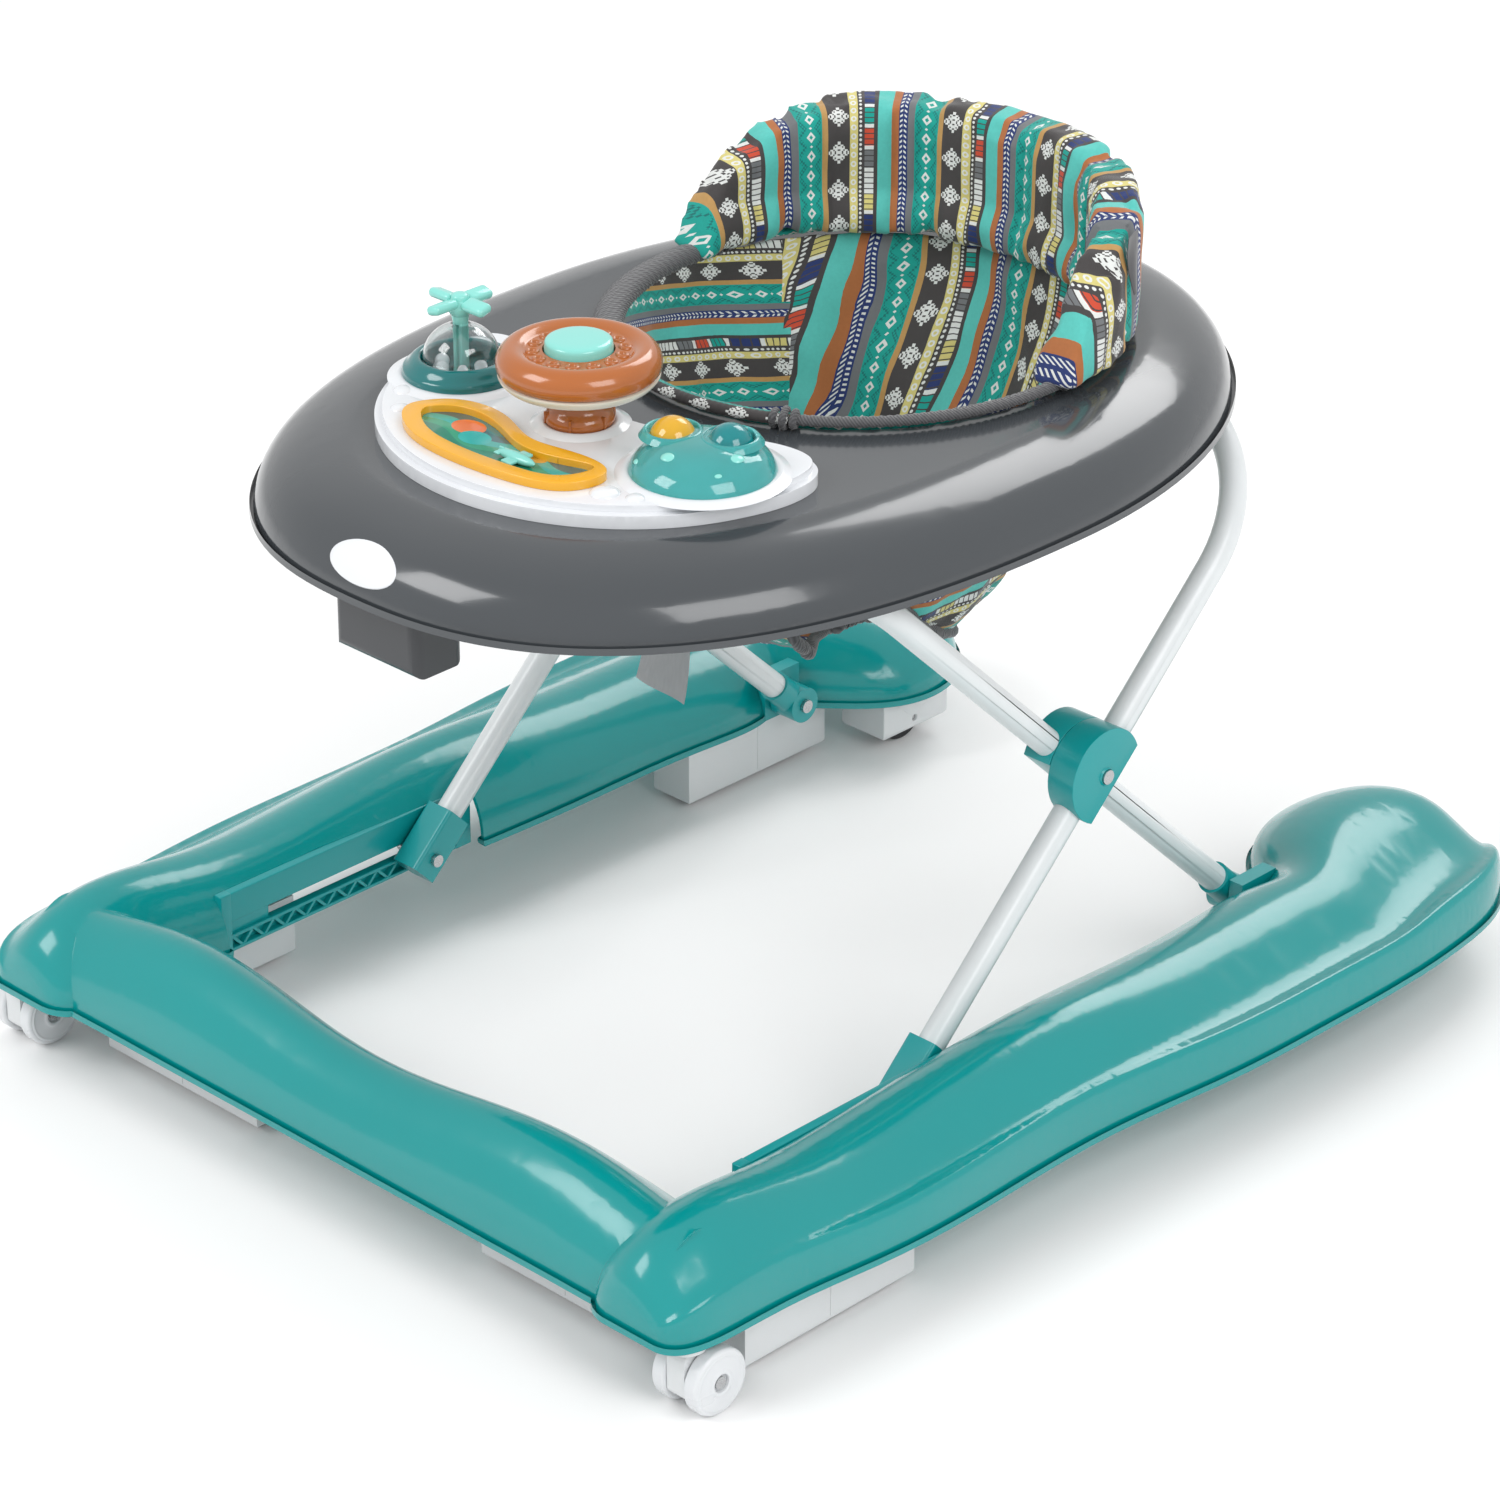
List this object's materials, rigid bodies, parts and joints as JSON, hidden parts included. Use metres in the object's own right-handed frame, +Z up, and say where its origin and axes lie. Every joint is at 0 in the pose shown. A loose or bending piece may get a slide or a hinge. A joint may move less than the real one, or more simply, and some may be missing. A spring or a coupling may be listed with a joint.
{
  "type": "baby walker",
  "caption": "Folding baby walker: scissor frame on a U-shaped wheeled base with swivel casters, oval tray with toy panel, padded back and fabric seat sling.",
  "frame": {"origin": "on the floor at the middle of the base", "axes": "+Z up, the toy side faces -Y, +X to the right seen from the toy side"},
  "size_m": [0.716, 0.842, 0.5771],
  "materials": {
    "aqua_clear": "tinted",
    "aqua_plastic": "glossy",
    "black_tyre": "matt",
    "charcoal_gloss": "glossy moulded",
    "charcoal_matte": "fine grain",
    "clear_plastic": "clear",
    "cream_plastic": "glossy",
    "dark_rubber": "ribbed",
    "deep_teal_plastic": "glossy",
    "picture_print": "printed",
    "print_fabric": "printed woven polyester",
    "rust_plastic": "glossy",
    "steel": "bright",
    "teal_clear": "tinted",
    "teal_matte": "satin moulded",
    "teal_shell": "glossy moulded",
    "white_gloss": "glossy moulded",
    "white_plastic": "satin moulded",
    "white_tube": "powder coated",
    "white_wheel": "satin",
    "yellow_clear": "tinted",
    "yellow_plastic": "glossy"
  },
  "bodies": {
    "base": {"base_shell": "teal_shell", "slide_track_right": "teal_matte", "slide_track_left": "teal_matte", "rear_bracket_right": "teal_matte", "rear_bracket_left": "teal_matte", "rear_bracket_pins": "steel", "pad_blocks_front": "white_plastic", "pad_blocks_side_front": "white_plastic", "pad_blocks_side_rear": "white_plastic", "grip_strips": "dark_rubber", "wheel_housing_right": "white_plastic", "wheel_housing_left": "white_plastic", "rear_axles": "steel", "caster_sockets": "white_plastic"},
    "rear_wheel_right": {"rear_wheel_right": "black_tyre"},
    "caster_right": {"caster_fork_right": "white_plastic", "caster_stem_right": "steel", "caster_axle_right": "steel"},
    "caster_wheel_outer_right": {"caster_wheel_outer_right": "white_wheel"},
    "caster_wheel_inner_right": {"caster_wheel_inner_right": "white_wheel"},
    "rear_wheel_left": {"rear_wheel_left": "black_tyre"},
    "caster_left": {"caster_fork_left": "white_plastic", "caster_stem_left": "steel", "caster_axle_left": "steel"},
    "caster_wheel_outer_left": {"caster_wheel_outer_left": "white_wheel"},
    "caster_wheel_inner_left": {"caster_wheel_inner_left": "white_wheel"},
    "rear_legs": {"rear_leg_tube": "white_tube", "rear_foot_sleeve_right": "teal_matte", "rear_foot_sleeve_left": "teal_matte", "cross_cup_right": "teal_matte", "cross_cup_left": "teal_matte", "cross_rivets": "steel"},
    "front_legs": {"front_leg_tube": "white_tube", "front_foot_sleeve_right": "teal_matte", "front_foot_sleeve_left": "teal_matte", "front_foot_pins": "steel", "cross_cover_right": "teal_matte", "cross_cover_left": "teal_matte"},
    "tray": {"tray_shell": "charcoal_gloss", "adjuster_rail": "charcoal_matte", "adjuster_housing": "charcoal_matte", "tray_pivot_brackets": "charcoal_matte", "seat_sling": "print_fabric", "back_pad": "print_fabric", "toy_panel": "white_gloss", "dome_ring": "deep_teal_plastic", "clear_dome": "clear_plastic", "dome_beads": "white_gloss", "picture_frame": "yellow_plastic", "picture_plate": "picture_print", "bubble_dome": "aqua_clear"},
    "release_lever": {"release_lever": "charcoal_matte"},
    "steering": {"steering_underside": "cream_plastic", "steering_wheel": "rust_plastic"},
    "horn_button": {"horn_button": "aqua_plastic"},
    "propeller": {"propeller": "aqua_plastic"},
    "plane_slider": {"plane_slider": "aqua_plastic"},
    "ball_yellow": {"ball_yellow": "yellow_clear"},
    "ball_teal": {"ball_teal": "teal_clear"}
  },
  "joints": [
    {"name": "fold", "type": "hinge", "parent": "base", "child": "rear_legs", "pos_m": [0, 0.239, 0.065], "axis": [1, 0, 0], "range_deg": [0, 31]},
    {"name": "scissor", "type": "hinge", "parent": "rear_legs", "child": "front_legs", "pos_m": [0, 0.06273, 0.23227], "axis": [1, 0, 0], "range_deg": [-62, 0]},
    {"name": "tray_tilt", "type": "hinge", "parent": "front_legs", "child": "tray", "pos_m": [0, 0.25423, 0.414], "axis": [1, 0, 0], "range_deg": [0, 31]},
    {"name": "caster_swivel_right", "type": "hinge", "parent": "base", "child": "caster_right", "pos_m": [0.317, -0.401, 0.04], "axis": [0, 0, 1], "continuous": true},
    {"name": "caster_outer_spin_right", "type": "hinge", "parent": "caster_right", "child": "caster_wheel_outer_right", "pos_m": [0.3305, -0.39, 0.0225], "axis": [1, 0, 0], "continuous": true},
    {"name": "caster_inner_spin_right", "type": "hinge", "parent": "caster_right", "child": "caster_wheel_inner_right", "pos_m": [0.3035, -0.39, 0.0225], "axis": [1, 0, 0], "continuous": true},
    {"name": "rear_wheel_spin_right", "type": "hinge", "parent": "base", "child": "rear_wheel_right", "pos_m": [0.205, 0.344, 0.022], "axis": [1, 0, 0], "continuous": true},
    {"name": "caster_swivel_left", "type": "hinge", "parent": "base", "child": "caster_left", "pos_m": [-0.317, -0.401, 0.04], "axis": [0, 0, 1], "continuous": true},
    {"name": "caster_outer_spin_left", "type": "hinge", "parent": "caster_left", "child": "caster_wheel_outer_left", "pos_m": [-0.3305, -0.39, 0.0225], "axis": [1, 0, 0], "continuous": true},
    {"name": "caster_inner_spin_left", "type": "hinge", "parent": "caster_left", "child": "caster_wheel_inner_left", "pos_m": [-0.3035, -0.39, 0.0225], "axis": [1, 0, 0], "continuous": true},
    {"name": "rear_wheel_spin_left", "type": "hinge", "parent": "base", "child": "rear_wheel_left", "pos_m": [-0.205, 0.344, 0.022], "axis": [1, 0, 0], "continuous": true},
    {"name": "lever_squeeze", "type": "hinge", "parent": "tray", "child": "release_lever", "pos_m": [0, -0.3076, 0.408], "axis": [1, 0, 0], "range_deg": [0, 18], "stiffness_Nm_per_rad": 0.4, "springref_deg": -5.73},
    {"name": "steering_turn", "type": "hinge", "parent": "tray", "child": "steering", "pos_m": [0, -0.175, 0.5], "axis": [0, 0, 1], "range_deg": [-90, 90]},
    {"name": "horn_press", "type": "slide", "parent": "steering", "child": "horn_button", "axis": [0, 0, -1], "range_m": [0, 0.0035], "stiffness_N_per_m": 400, "springref_m": -0.001},
    {"name": "propeller_spin", "type": "hinge", "parent": "tray", "child": "propeller", "pos_m": [-0.109, -0.175, 0.53], "axis": [0, 0, 1], "continuous": true},
    {"name": "plane_slide", "type": "slide", "parent": "tray", "child": "plane_slider", "axis": [-1, 0, 0], "range_m": [0, 0.045]},
    {"name": "ball_yellow_press", "type": "slide", "parent": "tray", "child": "ball_yellow", "axis": [0, 0, -1], "range_m": [0, 0.004], "stiffness_N_per_m": 300, "springref_m": -0.001},
    {"name": "ball_teal_press", "type": "slide", "parent": "tray", "child": "ball_teal", "axis": [0, 0, -1], "range_m": [0, 0.004], "stiffness_N_per_m": 300, "springref_m": -0.001}
  ],
  "couplings": [
    {"joint": "scissor", "follows": "fold", "ratio": -2},
    {"joint": "tray_tilt", "follows": "fold", "ratio": 1}
  ]
}
